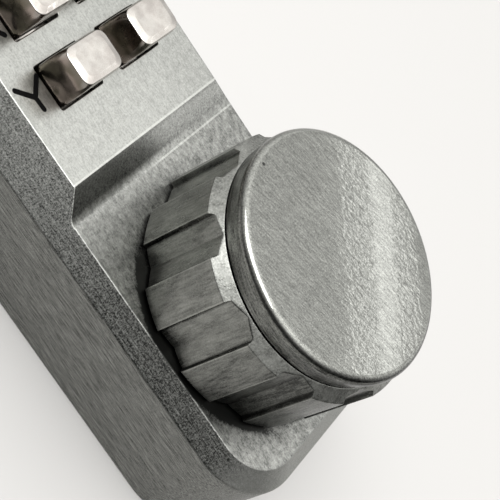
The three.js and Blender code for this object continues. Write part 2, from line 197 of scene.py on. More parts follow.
CAMERA_PLACE = Vector((-0.1478, -0.0091, 0.1626))
CAMERA_AIM = Vector((0.00563, -0.04476, 0.01825))
CAMERA_ROLL = math.radians(65.07)
camera_data = bpy.data.cameras.new("view_camera")
camera_data.lens = 104
camera_data.clip_start = 0.01
camera = link_object("view_camera", camera_data)
forward = (CAMERA_AIM - CAMERA_PLACE).normalized()
level_right = forward.cross(Vector((0, 0, 1))).normalized()
level_up = level_right.cross(forward)
right = level_right * math.cos(CAMERA_ROLL) + level_up * math.sin(CAMERA_ROLL)
up = level_up * math.cos(CAMERA_ROLL) - level_right * math.sin(CAMERA_ROLL)
camera.matrix_world = Matrix.Translation(CAMERA_PLACE) @ Matrix((right, up, -forward)).transposed().to_4x4()
scene.camera = camera


# ------------------------------------------------------------------ front case
# The case is one zinc die-casting, satin plated. Its flat front and the lower landing round the
# knob are linished along the case; the chamfer and walls keep a darker, blasted skin.

class CaseSize:
    """Millimetres. The outline comes from the frame and the levels are those of the casting."""
    low, high = (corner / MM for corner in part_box("front_case"))
    half_width, half_length, face = high.x, high.y, high.z
    corner_radius = 12
    waist_inset, waist = 0.45, 15.6
    chamfer_run = 5.1 / 4.7                # inward travel for each millimetre of rise
    landing = 18.25
    knob_y = sum(corner.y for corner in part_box("knob_cap")) / 2 / MM
    ramp_top, ramp_slope, ramp_fillet = knob_y + 27.8, 0.542, 2.6
    ramp_foot = ramp_top - (face - landing) / ramp_slope
    landing_edge = ramp_foot - ramp_fillet * math.tan(math.atan(ramp_slope) / 2)
    wall = 2.35
    cavity_top, pocket_top = 13.6, 17.8


def rounded_path(corners, steps):
    """Points through (a, b, radius) corners, each one turned as an arc of so many steps."""
    path = []
    for i, (a, b, radius) in enumerate(corners):
        corner = Vector((a, b))
        if not radius:
            path.append(corner)
            continue
        back = (Vector(corners[i - 1][:2]) - corner).normalized()
        ahead = (Vector(corners[i + 1][:2]) - corner).normalized()
        turn = math.pi - back.angle(ahead)
        centre = corner + (back + ahead).normalized() * radius / math.cos(turn / 2)
        start = corner + back * radius * math.tan(turn / 2) - centre
        finish = corner + ahead * radius * math.tan(turn / 2) - centre
        for step in range(steps + 1):
            share = step / steps
            arc = start * math.sin((1 - share) * turn) + finish * math.sin(share * turn)
            path.append(centre + arc / math.sin(turn))
    return path


def solid(name, points, faces):
    """A closed mesh object from points in millimetres."""
    mesh = bpy.data.meshes.new(name)
    mesh.from_pydata([Vector(point) * MM for point in points], [], faces)
    return link_object(name, mesh)


def evaluated_copy(thing):
    """The object's mesh with its modifiers worked in, and the modifiers gone."""
    made = bpy.data.meshes.new_from_object(thing.evaluated_get(bpy.context.evaluated_depsgraph_get()))
    made.name = thing.name
    thing.modifiers.clear()
    thing.data = made


def carve(body, tool, operation="DIFFERENCE", overlapping=False):
    """Cuts the tool from the body, or joins it, and scraps the tool."""
    change = body.modifiers.new("carve", "BOOLEAN")
    change.operation = operation
    change.solver = "EXACT"
    change.use_self = overlapping
    change.object = tool
    evaluated_copy(body)
    bpy.data.objects.remove(tool)


def joined(name, solids):
    """Several solids as one mesh object."""
    sheet = bmesh.new()
    for thing in solids:
        sheet.from_mesh(thing.data)
        bpy.data.objects.remove(thing)
    mesh = bpy.data.meshes.new(name)
    sheet.to_mesh(mesh)
    sheet.free()
    return link_object(name, mesh)


def ring_faces(rows, count):
    """Quads between the rows of points of a closed ring, and the flat ends."""
    faces = [(row * count + i, row * count + (i + 1) % count,
              (row + 1) * count + (i + 1) % count, (row + 1) * count + i)
             for row in range(rows - 1) for i in range(count)]
    faces.append(tuple(reversed(range(count))))
    faces.append(tuple(range((rows - 1) * count, rows * count)))
    return faces


def rounded_rectangle(half_x, half_y, radius, steps):
    """Anticlockwise points of a rectangle with round corners, about the origin."""
    points = []
    for quarter in range(4):
        side_x = (1, -1, -1, 1)[quarter]
        side_y = (1, 1, -1, -1)[quarter]
        for step in range(steps + 1):
            angle = math.pi / 2 * (quarter + step / steps)
            points.append((side_x * (half_x - radius) + radius * math.cos(angle),
                           side_y * (half_y - radius) + radius * math.sin(angle)))
    return points


def lofted(name, centre, levels, steps):
    """A solid through rounded rectangles (half_x, half_y, radius, z), lowest first."""
    points = [(centre[0] + x, centre[1] + y, z) for half_x, half_y, radius, z in levels
              for x, y in rounded_rectangle(half_x, half_y, radius, steps)]
    return solid(name, points, ring_faces(len(levels), 4 * (steps + 1)))


def rod(name, centre, radius, z_low, z_high, sides=48):
    points = [(centre[0] + radius * math.cos(2 * math.pi * i / sides),
               centre[1] + radius * math.sin(2 * math.pi * i / sides), z)
              for z in (z_low, z_high) for i in range(sides)]
    return solid(name, points, ring_faces(2, sides))


def case_profile(top):
    """(inset, z) from the door up the wall, over the chamfer and on to the front at that height."""
    size = CaseSize
    shoulder = size.waist_inset + (top - size.waist) * size.chamfer_run
    edge_radius = 0.42
    return rounded_path([(1, 0, 0), (0, 0, 0.3), (size.waist_inset, size.waist, 0.7),
                         (shoulder, top, edge_radius), (shoulder + 0.8, top, 0)], steps=6)


def front_line():
    """(y, z) along the front: landing, fillet, ramp and keypad face, with a fine lip at each crease."""
    size = CaseSize
    foot, scribe = size.ramp_foot, 0.07
    level = size.landing - scribe
    fillet = rounded_path([(foot - 6, level, 0), (foot, level, size.ramp_fillet),
                           (size.ramp_top, size.face + 0.03, 0)], steps=14)
    blend_start = fillet[1].x
    near = [(blend_start - 3, size.landing), (blend_start - 0.22, size.landing),
            (blend_start - 0.16, size.landing - 0.02), (blend_start - 0.03, level + 0.015)]
    lip = [(size.ramp_top + 0.04, size.face + 0.045), (size.ramp_top + 0.10, size.face + 0.045),
           (size.ramp_top + 0.32, size.face), (size.ramp_top + 3, size.face)]
    return near + [tuple(point) for point in fillet[1:-1]] + [(size.ramp_top - 0.05, size.face + 0.01)] + lip


def case_blank():
    """The casting's outside, as profiles stood round its outline and rows laid across its front."""
    size = CaseSize
    steps = 28
    inner_x, inner_y = size.half_width - size.corner_radius, size.half_length - size.corner_radius
    line = front_line()

    def corner(side_x, side_y, first):
        angles = [math.radians(first + 90 * i / steps) for i in range(steps + 1)]
        top = size.face if side_y > 0 else size.landing
        return [(side_x * inner_x, side_y * inner_y, math.cos(a), math.sin(a), top) for a in angles]

    right = [(inner_x, y, 1, 0, z) for y, z in line]
    left = [(-inner_x, y, -1, 0, z) for y, z in reversed(line)]
    stations = (right + corner(1, 1, 0) + corner(-1, 1, 90) + left + corner(-1, -1, 180) + corner(1, -1, 270))
    count = len(stations)
    depth = len(case_profile(size.face))
    points = []
    for x, y, normal_x, normal_y, top in stations:
        for inset, z in case_profile(top):
            reach = size.corner_radius - inset
            points.append((x + normal_x * reach, y + normal_y * reach, z))
    faces = []
    for i in range(count):
        here, following = i * depth, (i + 1) % count * depth
        faces += [(here + k, following + k, following + k + 1, here + k + 1) for k in range(depth - 1)]
    # the rows across run from each station on the right, in rising y, to its mirror on the left
    rising = list(range(count - steps - 1, count)) + list(range(len(right) + steps + 1))
    mirror = 2 * len(right) + 2 * steps + 1
    for here, following in zip(rising, rising[1:]):
        a, b = here * depth, following * depth
        c, d = (mirror - following) % count * depth, (mirror - here) % count * depth
        top = depth - 1
        faces.append((a + top, b + top, c + top, d + top))
        faces.append((d, c, b, a))
    return solid("front_case_casting", points, faces)


def slot_cutter(centre):
    """A tool for one button's slot, flared at the front so that the cut edge comes out rounded."""
    size = CaseSize
    slot_x, slot_y, corner, edge = 9.7 / 2, 6.9 / 2, 0.35, 0.16
    levels = [(slot_x, slot_y, corner, size.pocket_top - 1)]
    for step in range(5):
        angle = math.pi / 2 * step / 4
        flare, drop = edge * (1 - math.cos(angle)), edge * (1 - math.sin(angle))
        levels.append((slot_x + flare, slot_y + flare, corner + flare, size.face - drop))
    levels.append((slot_x + edge, slot_y + edge, corner + edge, size.face + 1))
    return lofted("slot_cutter", centre, levels, steps=4)


def keys():
    """Each key's name and the middle of its button in millimetres, from the frame."""
    for node in sorted(frame["nodes"]):
        if node.startswith("button_") and not node.startswith("button_spring"):
            low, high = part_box(node)
            yield node.removeprefix("button_"), ((low.x + high.x) / 2 / MM, (low.y + high.y) / 2 / MM)


def smooth_normals(thing, sharp_angle):
    """Flat faces stay flat and narrow rounded edges carry the turn between them."""
    thing.data.shade_smooth()
    thing.data.set_sharp_from_angle(angle=math.radians(sharp_angle))
    weights = thing.modifiers.new("weights", "WEIGHTED_NORMAL")
    weights.keep_sharp = True
    evaluated_copy(thing)


def hang(thing, body, slot, *nodes):
    """The piece rides on its body and stands for its nodes of the frame."""
    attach(thing, body)
    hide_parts(*nodes)


KEYS = dict(keys())
case = case_blank()
inner_half_x, inner_half_y = CaseSize.half_width - CaseSize.wall, CaseSize.half_length - CaseSize.wall
inner_corner = CaseSize.corner_radius - CaseSize.wall
carve(case, lofted("cavity", (0, 0), [(inner_half_x, inner_half_y, inner_corner, z)
                                      for z in (-1, CaseSize.cavity_top)], steps=12))
pocket_low, pocket_high = CaseSize.knob_y + 30, CaseSize.half_length - 8
pocket_half_x, pocket_half_y, pocket_corner = 16.2, (pocket_high - pocket_low) / 2, 2.5
carve(case, lofted("pocket", (0, (pocket_low + pocket_high) / 2),
                   [(pocket_half_x, pocket_half_y, pocket_corner, z)
                    for z in (CaseSize.cavity_top - 1, CaseSize.pocket_top)], steps=6))
carve(case, joined("slots", [slot_cutter(place) for place in KEYS.values()]))
spindle_hole = 9
carve(case, rod("spindle_hole", (0, CaseSize.knob_y), spindle_hole, CaseSize.cavity_top - 1,
                CaseSize.landing + 1, 64))

fixing_bosses = [(0, CaseSize.knob_y - 17.6), (0, CaseSize.knob_y + 117.2)]
plate_posts = [(side * 16.5, CaseSize.knob_y + 24) for side in (-1, 1)]
chamber_posts = [(-16, KEYS["y"][1]), (16, KEYS["1"][1])]
# each kind of post: its places, its radius and foot, and the radius and top of the blind bore in it
post_kinds = ((fixing_bosses, 3.4, 0, 2.1, 11),
              (plate_posts, 2.8, 1.9, 1.6, 9),
              (chamber_posts, 2.4, 10.3, 1.6, 13))
for places, radius, foot, bore, bore_top in post_kinds:
    carve(case, joined("posts", [rod("post", place, radius, foot, CaseSize.cavity_top + 0.5)
                                 for place in places]), "UNION")
    carve(case, joined("bores", [rod("bore", place, bore, -1, bore_top, 32) for place in places]))


def in_millimetres(graph):
    """The place on the piece, in millimetres."""
    place = graph.node("ShaderNodeTexCoord", output="Object")
    return graph.node("ShaderNodeVectorMath", {"operation": "SCALE"}, {0: place, "Scale": 1 / MM})


def stretched(graph, place, factors):
    return graph.node("ShaderNodeVectorMath", {"operation": "MULTIPLY"}, {0: place, 1: factors})


def axis(graph, place, name):
    return graph.node("ShaderNodeSeparateXYZ", None, {"Vector": place}, output=name)


def facing_forward(graph):
    """1 where the surface faces straight out of the front, and 0 where it is upright."""
    return axis(graph, graph.node("ShaderNodeTexCoord", output="Normal"), "Z")


def gap(graph, place, point):
    """Millimetres from a point."""
    return graph.node("ShaderNodeVectorMath", {"operation": "DISTANCE"}, {0: place, 1: point}, "Value")


def mottle(graph, place, per_mm, detail=2, roughness=0.55):
    """Soft noise around a half, with so many patches to a millimetre."""
    inputs = {"Vector": place, "Scale": per_mm, "Detail": detail, "Roughness": roughness}
    return graph.node("ShaderNodeTexNoise", None, inputs, "Fac")


def tint(graph, share, low, high):
    """A colour between two, by a share from 0 to 1."""
    low, high = (end if isinstance(end, Value) else (*end, 1) for end in (low, high))
    return graph.node("ShaderNodeMix", {"data_type": "RGBA"}, {0: share, 6: low, 7: high}, 2)


def shaded(graph, tone, least, colour):
    """The colour where the tone is 1, darkened in proportion where it is less, down to the least."""
    return tint(graph, tone.most(least).least(1), (0, 0, 0), colour)


def bump(graph, height, depth_mm, below=None):
    """A normal for a relief so many millimetres deep."""
    inputs = {"Height": height, "Distance": depth_mm * MM, "Strength": 1}
    if below:
        inputs["Normal"] = below
    return graph.node("ShaderNodeBump", None, inputs)


def finish(name, paint, **fixed):
    """A material whose paint(graph, place) returns the shader inputs that vary over the piece."""
    made = bpy.data.materials.new(name)
    made.use_nodes = True
    graph = Graph(made.node_tree)
    shader = graph.node("ShaderNodeBsdfPrincipled", None, {**fixed, **paint(graph, in_millimetres(graph))})
    graph.node("ShaderNodeOutputMaterial", None, {"Surface": shader})
    return made


def zinc_skin(graph, place):
    """Linished along the case where it faces forward, blasted on the chamfer and rubbed on the walls, with
    painted highlights, reflection and shade on the front and chamfer.
    """
    size = CaseSize
    facing = facing_forward(graph)
    across, along, height = (axis(graph, place, name) for name in "XYZ")
    # where on the casting: each of these is 1 in its own region and 0 outside it
    forward, leaning = facing.smooth(0.80, 0.97), facing.smooth(0.2, 0.6)
    raised = height.smooth(size.landing + 0.2, size.face - 0.3)
    sunken = height.fade(size.landing + 0.1, size.landing + 0.5)
    ramp = 1 - sunken - height.smooth(size.face - 0.25, size.face - 0.1)
    # painted highlights: crest and the mask after it paint bright lines along the ramp's top edge and along
    # its foot, the second fading in toward +X
    crest = along.distance(size.ramp_top + 0.16).fade(0.1, 0.2)
    painted_foot_highlight = along.distance(size.landing_edge - 0.1).fade(0.08, 0.2) * across.smooth(-5, 2)
    # painted shade: the landing and the chamfer are painted darker toward the knob end
    painted_low_end_shade = along.fade(size.knob_y + 5, size.ramp_top + 12)
    # painted reflection: the chamfer round the end's corner is painted lighter, with a weaker texture
    round_end = along.fade(size.knob_y - 19.5, size.knob_y - 13)
    near_side = across.fade(-17, -9)
    from_knob = gap(graph, stretched(graph, place, (1, 1, 0)), (0, size.knob_y, 0))
    # darker round the knob's foot: the wide ring is partly dirt and partly painted shade, and the narrow ring
    # on the near (-X) side is a painted shadow
    grime_and_shade, painted_knob_shadow = from_knob.fade(20.4, 23.6), from_knob.fade(20.0, 21.3)
    # textures, all about zero but for the scratches
    grain = mottle(graph, stretched(graph, place, (5.5, 1.3, 5.5)), 1, detail=3) - 0.5
    streak = mottle(graph, stretched(graph, place, (7.0, 0.40, 7.0)), 1, detail=4) - 0.5
    grit = mottle(graph, place, 4.6, detail=3, roughness=0.8) - 0.5
    speckle = mottle(graph, place, 3.4, detail=4, roughness=0.7) - 0.5
    blotch = mottle(graph, stretched(graph, place, (1.3, 0.9, 1.3)), 1, detail=4, roughness=0.7) - 0.5
    scratch = mottle(graph, stretched(graph, place, (11, 0.11, 11)), 1, detail=1).smooth(0.60, 0.72)
    # how light each finish is
    # painted shade: the front is painted a little darker toward +X
    linished = 0.69 - 0.09 * across.smooth(2, 17) + 0.45 * grain + 0.45 * blotch + 0.70 * speckle
    # the landing carries painted shade toward the knob end, and painted shade and shadow round the knob's
    # foot
    landing = linished - 0.12 + 0.50 * blotch - 0.10 * grime_and_shade - 0.6 * painted_knob_shadow * near_side - 0.16 * painted_low_end_shade
    # painted reflection: the ramp is painted darker on the -X side and lighter toward +X
    painted_ramp_reflection = ramp * (0.26 * across.smooth(-3, 1) - 0.13)
    level = landing + raised * (linished - landing) + painted_ramp_reflection
    blasted = (1 - 0.6 * round_end) * (1.2 * grit + 1.0 * speckle + 0.6 * streak) + 0.20 * blotch
    blasted = blasted + 0.345 - 0.16 * painted_low_end_shade + 0.36 * round_end
    rubbed = 0.38 + 1.1 * streak + 0.6 * grit + 0.10 * scratch
    sloping = rubbed + leaning * (blasted - rubbed)
    tone = sloping + forward * (level - sloping + 0.25 * crest + 0.32 * painted_foot_highlight)
    roughness = 0.46 - forward * (0.15 + 0.19 * ramp - 0.06 * sunken) + 0.15 * speckle
    relief = speckle * (1.4 - 1.1 * forward) + grain * 0.5 + blotch * 0.6
    return {"Base Color": shaded(graph, tone, 0.05, (0.50, 0.507, 0.478)), "Roughness": roughness,
            "Normal": bump(graph, relief, 0.018)}


satin_zinc = finish("satin_zinc", zinc_skin, Metallic=1.0)


# ------------------------------------------------------------------ key legends
# Each key's character is engraved beside its slot with a round-ended cutter and filled with black
# enamel, which lies a hair below the face. Strokes are lines and arcs about the character's middle.

def bow(x, y, reach_x, reach_y, first, last):
    """Points of an elliptical arc between two angles in degrees."""
    count = max(4, round(abs(last - first) / 12))
    angles = [math.radians(first + (last - first) * i / count) for i in range(count + 1)]
    return [(x + reach_x * math.cos(a), y + reach_y * math.sin(a)) for a in angles]


TALL = 2.1
STROKES = {
    "0": [bow(0, 0, 1.45, TALL, -5, 185), bow(0, 0, 1.45, TALL, 175, 365)],
    "1": [[(-0.9, 1.2), (0.3, TALL)], [(0.3, TALL), (0.3, -TALL)]],
    "2": [bow(0, 0.85, 1.35, 1.25, 165, -38), [(1.06, 0.08), (-1.35, -TALL)], [(-1.35, -TALL), (1.4, -TALL)]],
    "3": [bow(0, 1.05, 1.15, 1.05, 150, -90), bow(0, -1.0, 1.35, 1.1, 90, -150)],
    "4": [[(0.6, -TALL), (0.6, TALL)], [(0.6, TALL), (-1.5, -0.8)], [(-1.5, -0.8), (1.5, -0.8)]],
    "5": [[(1.2, TALL), (-0.95, TALL)], [(-0.95, TALL), (-1.1, 0.2)], bow(0, -0.75, 1.35, 1.35, 140, -150)],
    "6": [bow(0, -0.85, 1.3, 1.25, -5, 185), bow(0, -0.85, 1.3, 1.25, 175, 365),
          bow(1.0, -0.85, 2.3, 2.95, 180, 100)],
    "7": [[(-1.4, TALL), (1.4, TALL)], [(1.4, TALL), (-0.5, -TALL)]],
    "8": [bow(0, 1.1, 1.05, 1.0, -5, 185), bow(0, 1.1, 1.05, 1.0, 175, 365),
          bow(0, -1.0, 1.3, 1.1, -5, 185), bow(0, -1.0, 1.3, 1.1, 175, 365)],
    "c": [bow(0.2, 0, 1.9, TALL, 48, 312)],
    "x": [[(-1.8, TALL), (1.8, -TALL)], [(-1.8, -TALL), (1.8, TALL)]],
    "y": [[(-2.4, 2.0), (0, -0.2)], [(2.35, TALL), (0, -0.2)], [(0, -0.2), (0.1, -TALL)]],
    "z": [[(-1.7, TALL), (1.7, TALL)], [(1.7, TALL), (-1.7, -TALL)], [(-1.7, -TALL), (1.7, -TALL)]],
}
STROKES["9"] = [[(-x, -y) for x, y in stroke] for stroke in STROKES["6"]]
LEGEND_FROM_MIDDLE, LEGEND_RAISE, STROKE_RADIUS = 14.6, 0.2, 0.42


def groove(stroke, centre, radius, z_low, z_high):
    """A prism along one stroke, with round ends."""
    line = [Vector(centre) + Vector(point) for point in stroke]
    ways = [(line[min(i + 1, len(line) - 1)] - line[max(i - 1, 0)]).normalized() for i in range(len(line))]
    outline = []
    for points, directions in ((line, ways), (line[::-1], [-way for way in ways[::-1]])):
        outline += [point + Vector((way.y, -way.x)) * radius for point, way in zip(points, directions)]
        for step in range(1, 8):
            turn = math.pi * step / 8 - math.pi / 2
            way = directions[-1]
            outline.append(points[-1] + Vector((way.x * math.cos(turn) - way.y * math.sin(turn),
                                                way.x * math.sin(turn) + way.y * math.cos(turn))) * radius)
    points = [(point.x, point.y, z) for z in (z_low, z_high) for point in outline]
    return solid("groove", points, ring_faces(2, len(outline)))


def legend_grooves(radius, z_low, z_high):
    made = []
    for name, (x, y) in KEYS.items():
        centre = (math.copysign(LEGEND_FROM_MIDDLE, x), y + LEGEND_RAISE)
        made += [groove(stroke, centre, radius, z_low, z_high) for stroke in STROKES[name]]
    return joined("legends", made)


engraved = CaseSize.face - 0.35
carve(case, legend_grooves(STROKE_RADIUS, engraved, CaseSize.face + 1), overlapping=True)
smooth_normals(case, sharp_angle=35)
case.data.materials.append(satin_zinc)
hang(case, "case", "satin_zinc", "front_case")

enamel_half_x = 19
legends = lofted("key_legends", (0, 0), [(enamel_half_x, CaseSize.half_length, 1, z)
                                         for z in (engraved + 0.02, CaseSize.face - 0.05)], steps=2)
carve(legends, legend_grooves(STROKE_RADIUS + 0.01, engraved - 1, CaseSize.face + 1), "INTERSECT", True)


def enamel_skin(graph, place):
    settled = mottle(graph, place, 2.5)
    colour = tint(graph, settled, (0.001, 0.001, 0.001), (0.004, 0.004, 0.004))
    return {"Base Color": colour, "Roughness": 0.50 + 0.2 * settled, "Normal": bump(graph, settled, 0.02)}


legends.data.materials.append(finish("black_enamel", enamel_skin, **{"Specular IOR Level": 0.04}))
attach(legends, "case")


# ------------------------------------------------------------------ buttons
# Each button is a zinc block, polished and nickel plated, with a stem and a flange inside the case
# that keep it in its slot. Its front is a soft pillow inside a shoulder worn smooth by fingers.

class ButtonSize:
    half_x, half_y, corner = 4.60, 3.2, 0.9
    side_top, shoulder_top, crown = 2.4, 5.95, 6.22      # above the face
    shoulder_x, shoulder_y = 0.34, 0.30                  # drawn in by the top of the shoulder
    pillow = 1.1                                         # width of the band round the crown


def button_levels():
    """(half_x, half_y, radius, z) up the stem, the flange, the sides, the shoulder and the crown."""
    size, face = ButtonSize, CaseSize.face
    levels = [(1.85, 1.15, 0.2, 10.1), (2.0, 1.3, 0.3, 10.25), (2.0, 1.3, 0.3, 15.9),
              (5.55, 4.0, 0.5, 15.9), (5.65, 4.1, 0.6, 16.0), (5.65, 4.1, 0.6, 17.4), (5.55, 4.0, 0.5, 17.5),
              (size.half_x, size.half_y, size.corner, 17.55)]
    # insets are in shares of the shoulder up to 1, and in millimetres more than that across the crown
    section = rounded_path([(0, face - 2, 0), (0, face + size.side_top, 6),
                            (0.22, face + size.side_top + 2.2, 4), (1, face + size.shoulder_top, 0.42),
                            (1 + size.pillow, face + size.crown - 0.02, 0.5),
                            (1.9 + size.pillow, face + size.crown, 0)], steps=9)
    for inset, z in section:
        shoulder, over = min(inset, 1), max(inset - 1, 0)
        inset_x = shoulder * size.shoulder_x + over
        inset_y = shoulder * size.shoulder_y + over * 0.72
        levels.append((size.half_x - inset_x, size.half_y - inset_y,
                       max(size.corner + 0.5 * shoulder - over * 0.35, 0.2), z))
    return levels


def polished_skin(graph, place):
    """Bright nickel with a warm bloom, finger haze and wipe marks; the sides are rougher and painted darker
    and browner as painted shade and reflection.
    """
    haze = mottle(graph, place, 0.35, detail=3)
    wipe = mottle(graph, stretched(graph, place, (0.8, 6, 0.8)), 1, detail=2)
    fine = mottle(graph, place, 6, detail=2)
    wave = mottle(graph, place, 0.33, detail=1)
    side = facing_forward(graph).fade(0.1, 0.55)
    front = tint(graph, haze.smooth(0.3, 0.7) + 0.8 * (fine - 0.5), (0.38, 0.355, 0.33), (0.48, 0.46, 0.43))
    # painted shade and reflection: the sides get a darker, browner colour than the front
    brown = tint(graph, wave.smooth(0.4, 0.6), (0.14, 0.123, 0.095), (0.29, 0.240, 0.210))
    roughness = 0.10 + 0.16 * haze.smooth(0.45, 0.75) + 0.05 * (wipe - 0.5) + 0.12 * side
    relief = bump(graph, fine * 0.5 + wipe, 0.0015, bump(graph, wave, 0.22))
    return {"Base Color": tint(graph, side, front, brown), "Roughness": roughness, "Normal": relief}


polished_nickel = finish("polished_nickel", polished_skin, Metallic=1.0)
settle = 0.12                                  # the buttons lie towards one side of their slots
for name, (x, y) in KEYS.items():
    button = lofted(f"push_button_{name}", (x, y + settle), button_levels(), steps=7)
    smooth_normals(button, sharp_angle=50)
    button.data.materials.append(polished_nickel)
    hang(button, f"key_{name}", "polished_nickel", f"button_{name}")


# ------------------------------------------------------------------ springs
# Under each button a small coil of drawn spring wire pushes it out. A larger one round the spindle
# brings the knob back. Each is wound by the same rule: a spiral line with a round wire along it.

def grown(name, base, material, sizes, build):
    """A piece made by a Geometry Nodes tree: build(graph, sockets) fills it in from named sizes."""
    tree = bpy.data.node_groups.new(name, "GeometryNodeTree")
    graph = Graph(tree)
    kinds = {float: "NodeSocketFloat", int: "NodeSocketInt", tuple: "NodeSocketVector"}
    tree.interface.new_socket("Base", in_out="INPUT", socket_type="NodeSocketGeometry")
    tree.interface.new_socket("Piece", in_out="OUTPUT", socket_type="NodeSocketGeometry")
    identifiers = {}
    for label, value in sizes.items():
        entry = tree.interface.new_socket(label, in_out="INPUT", socket_type=kinds[type(value)])
        identifiers[label] = entry.identifier
    given = tree.nodes.new("NodeGroupInput")
    sockets = {socket.name: Value(graph, socket) for socket in given.outputs if socket.name}
    real = graph.node("GeometryNodeRealizeInstances", None, {"Geometry": build(graph, sockets)})
    done = graph.node("GeometryNodeSetMaterial", None, {"Geometry": real, "Material": material})
    graph.node("NodeGroupOutput", None, {"Piece": done})
    grower = base.modifiers.new(name, "NODES")
    grower.node_group = tree
    for label, value in sizes.items():
        grower[identifiers[label]] = value
    evaluated_copy(base)
    base.data.transform(Matrix.Scale(MM, 4))
    base.name = name
    return base


def wound(graph, sockets):
    """A helix of round wire standing at Place, sizes in millimetres."""
    line = graph.node("GeometryNodeCurveSpiral", None, {
        "Resolution": 28, "Rotations": sockets["Turns"], "Start Radius": sockets["Coil Radius"],
        "End Radius": sockets["Coil Radius"], "Height": sockets["Height"], "Reverse": False})
    wire = graph.node("GeometryNodeCurvePrimitiveCircle", None, {
        "Resolution": 9, "Radius": sockets["Wire Radius"]})
    coil = graph.node("GeometryNodeCurveToMesh", None, {
        "Curve": line, "Profile Curve": wire, "Fill Caps": True})
    rounded = graph.node("GeometryNodeSetShadeSmooth", None, {"Geometry": coil, "Shade Smooth": True})
    return graph.node("GeometryNodeTransform", None, {"Geometry": rounded, "Translation": sockets["Place"]})


def empty_base():
    return link_object("base", bpy.data.meshes.new("base"))


def wire_skin(graph, place):
    drawn = mottle(graph, place, 4, detail=3)
    colour = tint(graph, drawn, (0.36, 0.37, 0.40), (0.60, 0.61, 0.64))
    return {"Base Color": colour, "Roughness": 0.22 + 0.22 * drawn, "Normal": bump(graph, drawn, 0.004)}


spring_steel = finish("spring_steel", wire_skin, Metallic=1.0)
wire, slack = 0.22, 0.01
for name, (x, y) in KEYS.items():
    low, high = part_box(f"button_spring_{name}")
    sizes = {"Turns": 5.0, "Coil Radius": (high.x - low.x) / 2 / MM - wire - slack, "Wire Radius": wire,
             "Height": (high.z - low.z) / MM - 2 * (wire + slack), "Place": (x, y, low.z / MM + wire + slack)}
    spring = grown(f"coil_spring_{name}", empty_base(), spring_steel, sizes, wound)
    hang(spring, "case", "spring_steel", f"button_spring_{name}")
    x * MM
    y * MM
    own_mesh(spring)

sizes = {"Turns": 3.0, "Coil Radius": 8.0, "Wire Radius": 0.48, "Height": 3.5,
         "Place": (0.0, CaseSize.knob_y, 7.7)}
return_spring = grown("torsion_spring", empty_base(), spring_steel, sizes, wound)
hang(return_spring, "case", "spring_steel", "knob_return_spring")


# ------------------------------------------------------------------ knob
# The turn knob is a second zinc casting with ten full ribs and shallow scallops milled between
# them for the fingers. The scallops run out through a sloping ledge under the front cap.

class KnobSize:
    rib, neck = 19.9, 18.1
    base, ledge, shoulder = 18.7, 32.4, 33.9
    ribs, first_rib, rib_half, valley = 10, 11.3, 8.8, 18.3


def turned(name, section, angles):
    """A closed solid of revolution in millimetres, from (radius, z) points that begin and end on the axis."""
    rim = [point for point in section if point[0] > 0]
    points = [(r * math.cos(a), r * math.sin(a), z) for r, z in rim for a in angles]
    count = len(angles)
    faces = ring_faces(len(rim), count)[:-2]
    points += [(0, 0, section[0][1]), (0, 0, section[-1][1])]
    last = (len(rim) - 1) * count
    for i in range(count):
        following = (i + 1) % count
        faces.append((len(points) - 2, following, i))
        faces.append((len(points) - 1, last + i, last + following))
    mesh = bpy.data.meshes.new(name)
    mesh.from_pydata(points, [], faces)
    return link_object(name, mesh)


def rib_angles():
    """Angles round the knob, close together where a rib's edge is turned."""
    size = KnobSize
    pitch = 360 / size.ribs
    edge_steps = (-0.9, -0.6, -0.4, -0.25, -0.1, 0.05, 0.2, 0.35, 0.5, 0.65, 0.85, 1.2)
    edge = [size.rib_half + step for step in edge_steps]
    flat = [-size.rib_half + 2 * size.rib_half * i / 8 for i in range(1, 8)]
    gap = pitch / 2 - size.rib_half
    scallop = [size.rib_half + 2 * gap * i / 16 for i in range(2, 15)]
    turn = sorted([-step for step in edge] + flat + edge + scallop)
    return [math.radians(size.first_rib + pitch * rib + step) for rib in range(size.ribs) for step in turn]


def knob_section():
    size = KnobSize
    outside = rounded_path([(17, size.base, 0), (size.rib, size.base, 0.35), (size.rib, size.ledge, 0.22),
                            (size.neck, size.shoulder, 0.18), (14.8, size.shoulder, 0)], steps=5)
    # from the axis: the seat of the spindle, the hub round it, and the hollow behind the ribs
    inside = [(0, 27.1), (6.35, 27.1), (6.35, 20.2), (9.4, 20.2),
              (9.4, 28.4), (15.2, 28.4), (15.2, size.base)]
    rows = []
    for here, following in zip(outside, outside[1:]):
        rows.append(tuple(here))
        rise, across = following.y - here.y, abs(following.x - here.x)
        count = round(rise / 0.09) if across > 0.5 and rise > 0.5 else 12 if rise > 3 else 1
        rows += [tuple(here.lerp(following, step / count)) for step in range(1, count)]
    return inside + rows + [(14.8, size.shoulder), (14.8, 31.0), (0, 31.0)]


def off_rib(x, y, pitch, first_rib):
    """Degrees round the knob from the middle of the nearest rib."""
    turn = y.math("ARCTAN2", y, x) * (180 / math.pi) - first_rib
    return turn.distance(pitch * turn.math("ROUND", turn / pitch))


